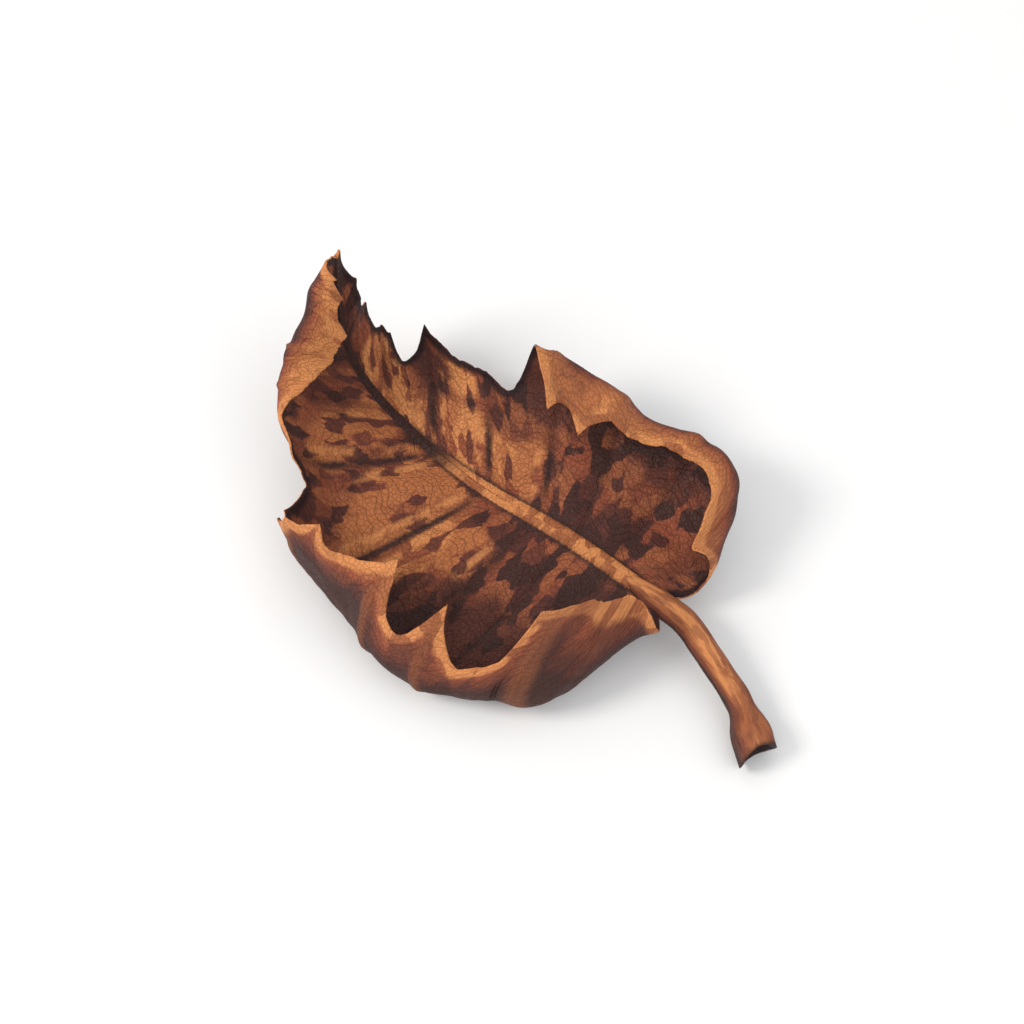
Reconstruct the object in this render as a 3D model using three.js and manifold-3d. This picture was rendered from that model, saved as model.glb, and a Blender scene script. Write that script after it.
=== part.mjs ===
// A dry autumn leaf lying on its back, curled up into a shallow bowl, with its stalk.
// Millimetres. +Y runs from the stalk to the leaf's tip, +Z is up, and z = 0 is the ground it lies on.
import * as THREE from "three";
import { mergeVertices } from "three/addons/utils/BufferGeometryUtils.js";
import Module from "manifold-3d";

// Driving dimensions
const midribLength = 156; // along the curve of the midrib, from stalk to tip
const bladeThickness = 0.9;
const midribWidth = { base: 2.7, tip: 1 }; // half-width of the raised rib
const midribRise = { base: 1.6, tip: 0.25 }; // height over and under the blade
const midribRiseFade = 0.7; // under 1 makes the rib drop fast near the stalk
const veinWidth = 1.7; // half-width of a side vein
const veinRise = 0.8; // under the blade
const veinGroove = 0.16; // over the blade
const pucker = 1.5; // how far the blade swells up between two veins
const edgeWave = { height: 1.1, count: 9, start: 0.2 }; // the edge waves up and down
const swellFrom = 12; // distance from the midrib over which swelling, waves and veins set in
const fullReach = 60; // blade reach at which swelling and waves have their full size
const stalkRadius = 3.7;
const stalkStart = { radius: 1.3, length: 20 }; // it tapers to this inside the midrib
const stalkOval = 0.9; // height over width
const stalkFlare = { growth: 1.55, from: 13, length: 9 }; // the swollen end
const prongs = { both: 1.8, uneven: 1.3, length: 8 }; // the end's two sides stick out past its middle
const stalkCup = { depth: 3.5, width: 0.74, lip: 0.8 }; // the hollow in the swollen end
const lipTurn = 12; // length over which the edge rolls over
const settle = { pitch: -6.3, roll: 3.7 }; // degrees: the leaf tips over until it rests on three points
const pressed = 0.6; // depth to which those three points are pressed flat
const toothPower = 1.7; // over 1 gives pointed teeth and rounded gaps
const columns = 16; // grid lines on each half, between midrib and edge
const columnCrowding = 1.2; // over 1 brings grid lines closer together towards the edge
const rowStep = { longest: 0.0225, shortest: 0.0025 }; // between grid rows, as shares of the midrib

// Pitch of the midrib, in degrees over the ground, at each share of its length
const midribPitch = [
  [0, 6], [0.1, 3], [0.2, -4], [0.3, -8], [0.4, 0], [0.5, 13],
  [0.6, 26], [0.66, 42], [0.72, 63], [0.8, 84], [1, 94],
];

// Each half is made of lines that leave the midrib at a share of its length.
// lean: angle between the line and the midrib. rise: the line's slope where it leaves.
// wall, soft, cup: the line turns up by cup degrees, from wall on, over a length of soft.
// lipAt, lip: it then rolls over by lip degrees from lipAt on. reach: its length.
const back = {
  side: 1,
  arch: 8,
  lean: [
    [0, 138], [0.03, 118], [0.06, 104], [0.1, 92], [0.15, 82], [0.2, 74], [0.27, 64], [0.36, 54],
    [0.45, 46], [0.55, 40], [0.7, 36], [0.85, 32], [1, 40],
  ],
  rise: [
    [0, -8], [0.03, -7], [0.06, -5], [0.1, -2], [0.15, 4], [0.2, 14], [0.27, 28], [0.36, 30],
    [0.45, 24], [0.55, 16], [0.7, 12], [0.85, 8], [1, 0],
  ],
  cup: [
    [0, 40], [0.03, 44], [0.06, 46], [0.1, 44], [0.15, 42], [0.2, 40], [0.27, 40], [0.36, 20],
    [0.45, 14], [0.55, 8], [0.7, 6], [0.85, 0], [1, 0],
  ],
  wall: [
    [0, 2], [0.03, 4], [0.06, 6], [0.36, 6], [0.45, 8], [1, 8],
  ],
  soft: [
    [0, 20], [0.03, 28], [0.06, 30], [0.1, 36], [0.15, 40], [0.2, 44], [0.36, 44], [0.45, 40],
    [0.55, 34], [1, 34],
  ],
  lip: [
    [0, 50], [0.015, 80], [0.03, 120], [0.06, 140], [0.15, 135], [0.2, 130], [0.27, 115],
    [0.36, 40], [0.45, 20], [0.55, 10], [0.7, 0], [1, 0],
  ],
  lipAt: [
    [0, 5], [0.03, 23], [0.06, 39.5], [0.1, 41], [0.15, 38], [0.2, 41], [0.235, 43.5],
    [0.27, 43.5], [0.36, 40], [0.45, 36], [0.55, 40], [1, 40],
  ],
  reach: [
    [0, 8], [0.012, 24], [0.025, 40], [0.05, 55], [0.065, 58], [0.1, 57], [0.135, 55],
    [0.175, 58], [0.207, 70], [0.225, 64.5], [0.25, 70], [0.325, 31.5], [0.365, 34], [0.4, 33],
    [0.49, 36.5], [0.555, 20], [0.58, 25], [0.61, 24], [0.65, 19], [0.7, 20], [0.76, 14],
    [0.85, 12], [1, 2.4],
  ],
  veins: [0.1, 0.175, 0.25, 0.365, 0.49, 0.61, 0.7],
};
const front = {
  side: -1,
  arch: 6,
  lean: [
    [0, 140], [0.03, 120], [0.06, 106], [0.1, 93], [0.14, 90], [0.19, 87], [0.25, 82], [0.32, 76],
    [0.39, 70], [0.46, 63], [0.54, 54], [0.62, 46], [0.72, 38], [0.85, 32], [1, 40],
  ],
  rise: [
    [0, 10], [0.03, -10], [0.06, -14], [0.1, -12], [0.14, -11], [0.19, -9], [0.25, -7],
    [0.32, -5], [0.39, 0], [0.46, 7], [0.54, 12], [0.62, 13], [0.72, 8], [0.85, -6], [1, 0],
  ],
  cup: [
    [0, 80], [0.03, 130], [0.06, 146], [0.1, 136], [0.14, 132], [0.19, 124], [0.25, 116],
    [0.32, 96], [0.39, 66], [0.46, 40], [0.54, 26], [0.62, 16], [0.72, 8], [0.85, 0], [1, 0],
  ],
  wall: [
    [0, 2], [0.03, 9], [0.06, 28], [0.1, 40], [0.14, 46.5], [0.19, 49], [0.25, 48.5], [0.32, 43],
    [0.39, 38], [0.46, 20], [0.54, 14], [0.62, 10], [0.72, 8], [0.85, 6], [1, 4],
  ],
  soft: [
    [0, 20], [0.03, 20], [0.06, 24], [0.1, 25], [0.14, 25], [0.19, 26], [0.39, 26], [0.46, 30],
    [0.54, 30], [0.62, 28], [0.72, 24], [0.85, 20], [1, 10],
  ],
  lip: [
    [0, 0], [0.1, 0], [0.14, 10], [0.19, 20], [0.25, 30], [0.32, 30], [0.39, 10], [0.46, 10],
    [0.54, 90], [0.62, 140], [0.72, 155], [0.85, 160], [0.94, 160], [1, 100],
  ],
  lipAt: [
    [0, 30], [0.03, 40], [0.06, 70], [0.1, 76], [0.14, 78], [0.19, 80], [0.25, 76], [0.32, 76],
    [0.39, 60], [0.46, 44], [0.54, 41.5], [0.62, 34], [0.72, 25.5], [0.85, 15], [0.94, 7], [1, 2],
  ],
  reach: [
    [0, 8], [0.015, 25], [0.03, 36], [0.04, 48], [0.05, 60], [0.0575, 69], [0.065, 76],
    [0.08, 83], [0.095, 86.5], [0.103, 71], [0.13, 71.5], [0.175, 94], [0.207, 80], [0.25, 97],
    [0.285, 89], [0.31, 86], [0.33, 91], [0.365, 86], [0.385, 78], [0.42, 61], [0.46, 46.5],
    [0.5, 52], [0.58, 51], [0.64, 50], [0.7, 47], [0.76, 42], [0.8, 40], [0.9, 27], [0.95, 16],
    [0.98, 9], [1, 2.4],
  ],
  veins: [0.085, 0.175, 0.25, 0.365, 0.49, 0.61, 0.7],
};

// The leaf settled on the ground
const settled = new THREE.Matrix4().makeRotationFromEuler(
  new THREE.Euler(THREE.MathUtils.degToRad(settle.pitch), THREE.MathUtils.degToRad(settle.roll), 0),
);

// Centre line of the stalk, from the foot of the blade outwards
const stalkLine = [[0, 0, 0], [-0.5, -12, -1], [-4, -24, -4], [-7.8, -36, -8.2], [-14.8, -47, -11.6]];
const stalkInside = [0.1, 0.07, 0.035]; // shares of the midrib at which it starts

const rad = THREE.MathUtils.degToRad;
const smooth = (x) => THREE.MathUtils.smoothstep(x, 0, 1);
const mix = THREE.MathUtils.lerp;

// A smooth curve through the points of a table, read at x
function curve(table, x) {
  const n = table.length;
  if (x <= table[0][0]) return table[0][1];
  if (x >= table[n - 1][0]) return table[n - 1][1];
  let k = 0;
  while (x > table[k + 1][0]) k++;
  const slope = (i) => {
    const a = table[Math.max(i - 1, 0)];
    const b = table[Math.min(i + 1, n - 1)];
    return (b[1] - a[1]) / (b[0] - a[0]);
  };
  const [x0, y0] = table[k];
  const [x1, y1] = table[k + 1];
  const h = x1 - x0;
  const t = (x - x0) / h;
  return (2 * t ** 3 - 3 * t ** 2 + 1) * y0 + (t ** 3 - 2 * t ** 2 + t) * h * slope(k)
    + (3 * t ** 2 - 2 * t ** 3) * y1 + (t ** 3 - t ** 2) * h * slope(k + 1);
}

// How far the blade reaches from the midrib: between two stations it eases out of the shorter
function reachAt(half, s) {
  const table = half.reach;
  let k = 0;
  while (k < table.length - 2 && s > table[k + 1][0]) k++;
  const [s0, r0] = table[k];
  const [s1, r1] = table[k + 1];
  const q = (s - s0) / (s1 - s0);
  const near = r1 > r0 ? q : 1 - q;
  return Math.min(r0, r1) + Math.abs(r1 - r0) * Math.max(near, 0) ** toothPower;
}

// The midrib: height and way along the ground at each share of its length
const midribSteps = 400;
const midrib = [[0, 0]];
for (let i = 0; i < midribSteps; i++) {
  const p = rad(curve(midribPitch, (i + 0.5) / midribSteps));
  const [y, z] = midrib[i];
  const d = midribLength / midribSteps;
  midrib.push([y + Math.cos(p) * d, z + Math.sin(p) * d]);
}
function midribAt(s) {
  const f = THREE.MathUtils.clamp(s, 0, 1) * midribSteps;
  const i = Math.min(Math.floor(f), midribSteps - 1);
  return [mix(midrib[i][0], midrib[i + 1][0], f - i), mix(midrib[i][1], midrib[i + 1][1], f - i)];
}

// Share of the way between the two veins round s: 0 on a vein, 1 half-way to the next
function betweenVeins(half, s) {
  const marks = [0, ...half.veins, 1];
  let k = 0;
  while (k < marks.length - 2 && s > marks[k + 1]) k++;
  const q = (s - marks[k]) / (marks[k + 1] - marks[k]);
  return Math.sin(Math.PI * THREE.MathUtils.clamp(q, 0, 1)) ** 2;
}

// One line of the blade: its points, half a millimetre apart, before the swelling is added
const lineStep = 0.5;
const lineSteps = 220;
const archLength = 60; // over this length a line's direction turns by the half's arch, in degrees
function bladeLine(half, s) {
  const [y0, z0] = midribAt(s);
  const p = rad(curve(midribPitch, s));
  const at = (key) => curve(half[key], s);
  const [lean, rise, cup, wall, soft] = ["lean", "rise", "cup", "wall", "soft"].map(at);
  const [lip, lipAt] = ["lip", "lipAt"].map(at);
  const points = [];
  let out = 0, along = 0, up = 0;
  for (let i = 0; i <= lineSteps; i++) {
    points.push(new THREE.Vector3(
      half.side * out,
      y0 + along * Math.cos(p) - up * Math.sin(p),
      z0 + along * Math.sin(p) + up * Math.cos(p),
    ));
    const r = (i + 0.5) * lineStep;
    const slope = rad(rise + cup * smooth((r - wall) / soft) + lip * smooth((r - lipAt) / lipTurn));
    const turn = rad(lean - (half.arch * r) / archLength);
    out += Math.cos(slope) * Math.sin(turn) * lineStep;
    along += Math.cos(slope) * Math.cos(turn) * lineStep;
    up += Math.sin(slope) * lineStep;
  }
  return (r) => {
    const f = THREE.MathUtils.clamp(r / lineStep, 0, lineSteps - 1e-6);
    const i = Math.floor(f);
    return points[i].clone().lerp(points[i + 1], f - i);
  };
}

// Grid rows: each station of either edge, both flanks of each vein, and steps between them
const flank = veinWidth / midribLength;
const marks = new Set([0, 1]);
for (const half of [back, front]) {
  for (const [s] of half.reach) marks.add(s);
  for (const s of half.veins) {
    marks.add(s - flank);
    marks.add(s + flank);
  }
}
const fixedRows = [];
for (const s of [...marks].sort((a, b) => a - b)) {
  if (fixedRows.length === 0 || s - fixedRows.at(-1) > rowStep.shortest) fixedRows.push(s);
}
const rows = [];
fixedRows.forEach((s, i) => {
  rows.push(s);
  if (i === fixedRows.length - 1) return;
  const gap = fixedRows[i + 1] - s;
  const parts = Math.ceil(gap / rowStep.longest);
  for (let k = 1; k < parts; k++) rows.push(s + (gap * k) / parts);
});

// One grid row: for each column from the front edge to the back edge, the point on the upper face
// and the point on the lower face
function gridRow(s) {
  const ds = 0.002; // steps along and across, for the slope of the surface
  const dr = 0.4;
  const ribColumns = 2;
  const ribWidth = mix(midribWidth.base, midribWidth.tip, s);
  const ribRise = mix(midribRise.base, midribRise.tip, s ** midribRiseFade);
  const halves = [front, back].map((half) => {
    const line = bladeLine(half, s);
    const before = bladeLine(half, Math.max(s - ds, 0));
    const after = bladeLine(half, Math.min(s + ds, 1));
    const reach = reachAt(half, s);
    const swell = betweenVeins(half, s);
    const nearVein = Math.min(...half.veins.map((v) => Math.abs(s - v) * midribLength));
    const found = [];
    for (let k = 0; k <= columns; k++) {
      const w = Math.min(ribWidth, 0.6 * reach);
      const q = (k - ribColumns) / (columns - ribColumns);
      const r = q < 0 ? (k * w) / ribColumns : w + (reach - w) * (1 - (1 - q) ** columnCrowding);
      const u = r / reach;
      const mid = line(r);
      const across = line(r + dr).sub(line(Math.max(r - dr, 0)));
      const lengthwise = after(r).sub(before(r));
      const normal = across.cross(lengthwise).multiplyScalar(half.side).normalize();
      const inside = smooth((r - w) / swellFrom);
      const full = Math.min(1, reach / fullReach);
      const wave = Math.sin(2 * Math.PI * (edgeWave.count * s + edgeWave.start * half.side));
      const lift = pucker * swell * inside * full * (1 - 0.6 * u)
        + edgeWave.height * inside * full ** 2 * u ** 3 * wave;
      const rib = ribRise * Math.sqrt(Math.max(0, 1 - (r / w) ** 2));
      const fade = inside ** 0.3 * (1 - 0.5 * u) * smooth((1 - u) * 8);
      const onVein = Math.max(0, 1 - nearVein / veinWidth) * fade;
      found.push({
        mid, normal, lift,
        over: bladeThickness / 2 + rib - veinGroove * onVein,
        under: bladeThickness / 2 + rib + veinRise * onVein,
      });
    }
    return found;
  });
  const [f, b] = halves;
  b[0].normal.add(f[0].normal).normalize();
  const cells = [...f.slice(1).reverse(), ...b];
  return cells.map(({ mid, normal, lift, over, under }) => [
    mid.clone().addScaledVector(normal, lift + over).applyMatrix4(settled),
    mid.clone().addScaledVector(normal, lift - under).applyMatrix4(settled),
  ]);
}

// Both faces are pressed up together wherever the lower one would go into the ground
function pressFlat(grid, ground) {
  for (const [over, under] of grid.flat()) {
    const into = Math.max(0, ground - under.z);
    under.z += into;
    over.z += into;
  }
}

// The blade as one closed skin: upper face, lower face, and a wall round the edge
function bladeGeometry(grid) {
  const n = grid.length;
  const m = grid[0].length;
  const position = new Float32Array(n * m * 2 * 3);
  const upper = (i, j) => i * m + j;
  const lower = (i, j) => n * m + i * m + j;
  grid.forEach((row, i) => row.forEach(([over, under], j) => {
    position.set(over.toArray(), upper(i, j) * 3);
    position.set(under.toArray(), lower(i, j) * 3);
  }));
  const index = [];
  for (let i = 0; i < n - 1; i++) {
    for (let j = 0; j < m - 1; j++) {
      const straight = grid[i][j][0].distanceTo(grid[i + 1][j + 1][0]);
      const crossed = grid[i][j + 1][0].distanceTo(grid[i + 1][j][0]);
      const corners = [[i, j], [i, j + 1], [i + 1, j + 1], [i + 1, j]];
      const split = straight <= crossed ? [[0, 1, 2], [0, 2, 3]] : [[0, 1, 3], [1, 2, 3]];
      for (const tri of split) {
        const [a, b, c] = tri.map((k) => corners[k]);
        index.push(upper(...a), upper(...b), upper(...c));
        index.push(lower(...a), lower(...c), lower(...b));
      }
    }
  }
  const wall = (a, b) => {
    index.push(upper(...a), lower(...a), lower(...b), upper(...a), lower(...b), upper(...b));
  };
  for (let j = 0; j < m - 1; j++) {
    wall([0, j], [0, j + 1]);
    wall([n - 1, j + 1], [n - 1, j]);
  }
  for (let i = 0; i < n - 1; i++) {
    wall([i + 1, 0], [i, 0]);
    wall([i, m - 1], [i + 1, m - 1]);
  }
  const g = new THREE.BufferGeometry();
  g.setAttribute("position", new THREE.BufferAttribute(position, 3));
  g.setIndex(index);
  return g;
}

const rings = 30;
const sides = 14;
// The stalk: a tapering tube that starts inside the midrib and ends in a swollen, hollowed foot
function stalkPoints() {
  const inside = stalkInside.map((s) => new THREE.Vector3(0, ...midribAt(s)));
  const outside = stalkLine.map((p) => new THREE.Vector3(...p));
  const line = new THREE.CatmullRomCurve3([...inside, ...outside], false, "centripetal");
  const total = line.getLength();
  const point = [];
  const ring = (centre, k, radius, prong) => {
    const tangent = line.getTangentAt(k / rings);
    const side = new THREE.Vector3().crossVectors(tangent, new THREE.Vector3(0, 0, 1)).normalize();
    const up = new THREE.Vector3().crossVectors(side, tangent).normalize();
    for (let a = 0; a < sides; a++) {
      const t = (2 * Math.PI * a) / sides;
      const ahead = prong * (prongs.both * Math.cos(t) ** 2 + prongs.uneven * Math.cos(t));
      point.push(centre.clone()
        .addScaledVector(side, radius * Math.cos(t))
        .addScaledVector(up, stalkOval * radius * Math.sin(t))
        .addScaledVector(tangent, ahead));
    }
  };
  for (let k = 0; k <= rings; k++) {
    const d = (k / rings) * total;
    const start = smooth(d / stalkStart.length);
    const end = smooth((d - (total - stalkFlare.from)) / stalkFlare.length);
    const radius = mix(stalkStart.radius, stalkRadius, start) * mix(1, stalkFlare.growth, end);
    ring(line.getPointAt(k / rings), k, radius, smooth((d - total) / prongs.length + 1));
  }
  const lastTangent = line.getTangentAt(1);
  const lastPoint = line.getPointAt(1);
  ring(lastPoint, rings, stalkRadius * stalkFlare.growth * stalkCup.width, stalkCup.lip);
  point.push(lastPoint.clone().addScaledVector(lastTangent, -stalkCup.depth));
  point.push(line.getPointAt(0));
  return point.map((v) => v.applyMatrix4(settled));
}
function stalkGeometry(point) {
  const index = [];
  const ringCount = rings + 2;
  for (let k = 0; k < ringCount - 1; k++) {
    for (let a = 0; a < sides; a++) {
      const b = (a + 1) % sides;
      const p = k * sides;
      const q = p + sides;
      index.push(p + a, q + a, q + b, p + a, q + b, p + b);
    }
  }
  const cup = point.length - 2;
  const start = point.length - 1;
  for (let a = 0; a < sides; a++) {
    const b = (a + 1) % sides;
    index.push((ringCount - 1) * sides + b, (ringCount - 1) * sides + a, cup);
    index.push(a, b, start);
  }
  const g = new THREE.BufferGeometry();
  g.setAttribute("position", new THREE.Float32BufferAttribute(point.flatMap((v) => v.toArray()), 3));
  g.setIndex(index);
  return g;
}

const wasm = await Module();
wasm.setup();

function solid(geometry) {
  const merged = mergeVertices(geometry, 1e-4);
  return new wasm.Manifold(new wasm.Mesh({
    numProp: 3,
    vertProperties: new Float32Array(merged.attributes.position.array),
    triVerts: new Uint32Array(merged.index.array),
  }));
}

const bladeGrid = rows.map(gridRow);
const stalkRings = stalkPoints();
const lowestBlade = Math.min(...bladeGrid.flat().map(([, under]) => under.z));
const lowestStalk = Math.min(...stalkRings.map((v) => v.z));
const ground = Math.max(lowestBlade, lowestStalk) + pressed;
pressFlat(bladeGrid, ground);
for (const v of stalkRings) v.z = Math.max(v.z, ground);
const bladeSolid = solid(bladeGeometry(bladeGrid));
const stalkSolid = solid(stalkGeometry(stalkRings));
const leafSolid = bladeSolid.add(stalkSolid);
const mesh = leafSolid.getMesh();
const geometry = new THREE.BufferGeometry();
geometry.setAttribute("position", new THREE.BufferAttribute(new Float32Array(mesh.vertProperties), 3));
geometry.setIndex(new THREE.BufferAttribute(new Uint32Array(mesh.triVerts), 1));

geometry.computeBoundingBox();
const lowest = geometry.boundingBox.min.z;
const centre = geometry.boundingBox.getCenter(new THREE.Vector3());
geometry.translate(-centre.x, -centre.y, -lowest);

const leaf = new THREE.Mesh(geometry, new THREE.MeshStandardMaterial({ color: 0x9a5f3c, roughness: 0.8 }));
leaf.name = "leaf";

const part = new THREE.Group();
part.add(leaf);
export default part;
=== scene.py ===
import bpy
import numpy as np
from mathutils import Matrix, Vector


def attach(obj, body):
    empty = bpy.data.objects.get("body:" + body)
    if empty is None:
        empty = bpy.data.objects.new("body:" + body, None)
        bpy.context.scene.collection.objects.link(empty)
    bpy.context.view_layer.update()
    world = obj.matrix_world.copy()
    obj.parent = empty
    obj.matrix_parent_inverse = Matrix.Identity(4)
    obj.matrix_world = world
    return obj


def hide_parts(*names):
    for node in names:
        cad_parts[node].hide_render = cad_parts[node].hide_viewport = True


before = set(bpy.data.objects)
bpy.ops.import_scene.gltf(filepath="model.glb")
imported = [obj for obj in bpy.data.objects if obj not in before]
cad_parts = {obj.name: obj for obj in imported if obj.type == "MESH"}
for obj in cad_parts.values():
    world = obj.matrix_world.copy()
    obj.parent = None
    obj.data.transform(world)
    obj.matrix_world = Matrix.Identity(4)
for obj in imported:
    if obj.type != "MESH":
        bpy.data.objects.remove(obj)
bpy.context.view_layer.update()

bl_info = {
    "name": "Dry autumn leaf",
    "version": (1, 0, 0),
    "blender": (4, 5, 0),
    "location": "3D View > Sidebar > Leaf",
    "description": "A curled dry leaf with its stalk, on a pale floor",
    "category": "Object",
}

MM = 0.001

# How the leaf lies, in degrees and millimetres: tipped over until three low points touch the
# ground, pressed flat at that level, and moved to the part's own origin
SETTLE_PITCH = -6.3
SETTLE_ROLL = 3.7
GROUND_LEVEL = -9.844
MOVE = (10.128, -32.558, 9.844)

# Pitch of the midrib, in degrees over the ground, at each share of its length
MIDRIB_LENGTH = 156.0
MIDRIB_PITCH = [
    (0, 6), (0.1, 3), (0.2, -4), (0.3, -8), (0.4, 0), (0.5, 13),
    (0.6, 26), (0.66, 42), (0.72, 63), (0.8, 84), (1, 94),
]

# Each half is made of lines that leave the midrib at a share of its length.
# lean: angle between the line and the midrib. rise: the line's slope where it leaves.
# wall, soft, cup: the line turns up by cup degrees, from wall on, over a length of soft.
# lip_at, lip: it then rolls over by lip degrees from lip_at on. reach: its length.
BACK_HALF = {
    "side": 1,
    "arch": 8,
    "lean": [(0, 138), (0.03, 118), (0.06, 104), (0.1, 92), (0.15, 82), (0.2, 74), (0.27, 64),
             (0.36, 54), (0.45, 46), (0.55, 40), (0.7, 36), (0.85, 32), (1, 40)],
    "rise": [(0, -8), (0.03, -7), (0.06, -5), (0.1, -2), (0.15, 4), (0.2, 14), (0.27, 28),
             (0.36, 30), (0.45, 24), (0.55, 16), (0.7, 12), (0.85, 8), (1, 0)],
    "cup": [(0, 40), (0.03, 44), (0.06, 46), (0.1, 44), (0.15, 42), (0.2, 40), (0.27, 40),
            (0.36, 20), (0.45, 14), (0.55, 8), (0.7, 6), (0.85, 0), (1, 0)],
    "wall": [(0, 2), (0.03, 4), (0.06, 6), (0.36, 6), (0.45, 8), (1, 8)],
    "soft": [(0, 20), (0.03, 28), (0.06, 30), (0.1, 36), (0.15, 40), (0.2, 44), (0.36, 44),
             (0.45, 40), (0.55, 34), (1, 34)],
    "lip": [(0, 50), (0.015, 80), (0.03, 120), (0.06, 140), (0.15, 135), (0.2, 130), (0.27, 115),
            (0.36, 40), (0.45, 20), (0.55, 10), (0.7, 0), (1, 0)],
    "lip_at": [(0, 5), (0.03, 23), (0.06, 39.5), (0.1, 41), (0.15, 38), (0.2, 41), (0.235, 43.5),
               (0.27, 43.5), (0.36, 40), (0.45, 36), (0.55, 40), (1, 40)],
    "reach": [(0, 8), (0.012, 24), (0.025, 40), (0.05, 55), (0.065, 58), (0.1, 57), (0.135, 55),
              (0.175, 58), (0.207, 70), (0.225, 64.5), (0.25, 70), (0.325, 31.5), (0.365, 34),
              (0.4, 33), (0.49, 36.5), (0.555, 20), (0.58, 25), (0.61, 24), (0.65, 19), (0.7, 20),
              (0.76, 14), (0.85, 12), (1, 2.4)],
    "veins": [0.1, 0.175, 0.25, 0.365, 0.49, 0.61, 0.7],
}
FRONT_HALF = {
    "side": -1,
    "arch": 6,
    "lean": [(0, 140), (0.03, 120), (0.06, 106), (0.1, 93), (0.14, 90), (0.19, 87), (0.25, 82),
             (0.32, 76), (0.39, 70), (0.46, 63), (0.54, 54), (0.62, 46), (0.72, 38), (0.85, 32),
             (1, 40)],
    "rise": [(0, 10), (0.03, -10), (0.06, -14), (0.1, -12), (0.14, -11), (0.19, -9), (0.25, -7),
             (0.32, -5), (0.39, 0), (0.46, 7), (0.54, 12), (0.62, 13), (0.72, 8), (0.85, -6),
             (1, 0)],
    "cup": [(0, 80), (0.03, 130), (0.06, 146), (0.1, 136), (0.14, 132), (0.19, 124), (0.25, 116),
            (0.32, 96), (0.39, 66), (0.46, 40), (0.54, 26), (0.62, 16), (0.72, 8), (0.85, 0),
            (1, 0)],
    "wall": [(0, 2), (0.03, 9), (0.06, 28), (0.1, 40), (0.14, 46.5), (0.19, 49), (0.25, 48.5),
             (0.32, 43), (0.39, 38), (0.46, 20), (0.54, 14), (0.62, 10), (0.72, 8), (0.85, 6),
             (1, 4)],
    "soft": [(0, 20), (0.03, 20), (0.06, 24), (0.1, 25), (0.14, 25), (0.19, 26), (0.39, 26),
             (0.46, 30), (0.54, 30), (0.62, 28), (0.72, 24), (0.85, 20), (1, 10)],
    "lip": [(0, 0), (0.1, 0), (0.14, 10), (0.19, 20), (0.25, 30), (0.32, 30), (0.39, 10),
            (0.46, 10), (0.54, 90), (0.62, 140), (0.72, 155), (0.85, 160), (0.94, 160), (1, 100)],
    "lip_at": [(0, 30), (0.03, 40), (0.06, 70), (0.1, 76), (0.14, 78), (0.19, 80), (0.25, 76),
               (0.32, 76), (0.39, 60), (0.46, 44), (0.54, 41.5), (0.62, 34), (0.72, 25.5),
               (0.85, 15), (0.94, 7), (1, 2)],
    "reach": [(0, 8), (0.015, 25), (0.03, 36), (0.04, 48), (0.05, 60), (0.0575, 69), (0.065, 76),
              (0.08, 83), (0.095, 86.5), (0.103, 71), (0.13, 71.5), (0.175, 94), (0.207, 80),
              (0.25, 97), (0.285, 89), (0.31, 86), (0.33, 91), (0.365, 86), (0.385, 78),
              (0.42, 61), (0.46, 46.5), (0.5, 52), (0.58, 51), (0.64, 50), (0.7, 47), (0.76, 42),
              (0.8, 40), (0.9, 27), (0.95, 16), (0.98, 9), (1, 2.4)],
    "veins": [0.085, 0.175, 0.25, 0.365, 0.49, 0.61, 0.7],
}
# How pointed the teeth are, and the share of the midrib up to which the edge has none
TOOTH_POWER = 1.7
PLAIN_BASE = 0.095
# Lengths along a line, in millimetres: over which the lip rolls over, over which the line turns
# by its arch, and between two of its points
LIP_TURN = 12.0
ARCH_LENGTH = 60.0
LINE_STEP = 0.5
LINE_STEPS = 220
# Sizes in millimetres of the wide and the narrow nicks of the ragged edge, and how far in from
# the edge the skin thins out
NICK_SIZES = (5.0, 2.2)
THIN_BAND = 0.6

# Centre line of the stalk in millimetres, from the foot of the blade outwards, and the shares of
# the midrib that it runs through before that
STALK_LINE = [(0, 0, 0), (-0.5, -12, -1), (-4, -24, -4), (-7.8, -36, -8.2), (-14.8, -47, -11.6)]
STALK_INSIDE = (0.1, 0.07, 0.035)


def smooth(x):
    """0 up to 0, 1 from 1 on, and 3x^2 - 2x^3 between."""
    x = np.clip(x, 0.0, 1.0)
    return x * x * (3.0 - 2.0 * x)


def mix(a, b, part):
    """a at part 0, b at part 1, and the straight line between."""
    return a + (b - a) * part


def cubic(t, start, end, leave, arrive):
    """The cubic from start at t = 0 to end at t = 1 that has the slopes leave and arrive there."""
    return (
        (2 * t**3 - 3 * t**2 + 1) * start
        + (t**3 - 2 * t**2 + t) * leave
        + (3 * t**2 - 2 * t**3) * end
        + (t**3 - t**2) * arrive
    )


def curve(table, x):
    """A smooth curve through a table's points: between two of them it is the cubic whose slope
    at each is that of the straight line between its neighbours."""
    xs, ys = np.array(table, float).T
    n = len(xs)
    low = np.maximum(np.arange(n) - 1, 0)
    high = np.minimum(np.arange(n) + 1, n - 1)
    slope = (ys[high] - ys[low]) / (xs[high] - xs[low])
    x = np.clip(x, xs[0], xs[-1])
    k = np.clip(np.searchsorted(xs, x) - 1, 0, n - 2)
    h = xs[k + 1] - xs[k]
    return cubic((x - xs[k]) / h, ys[k], ys[k + 1], h * slope[k], h * slope[k + 1])


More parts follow.
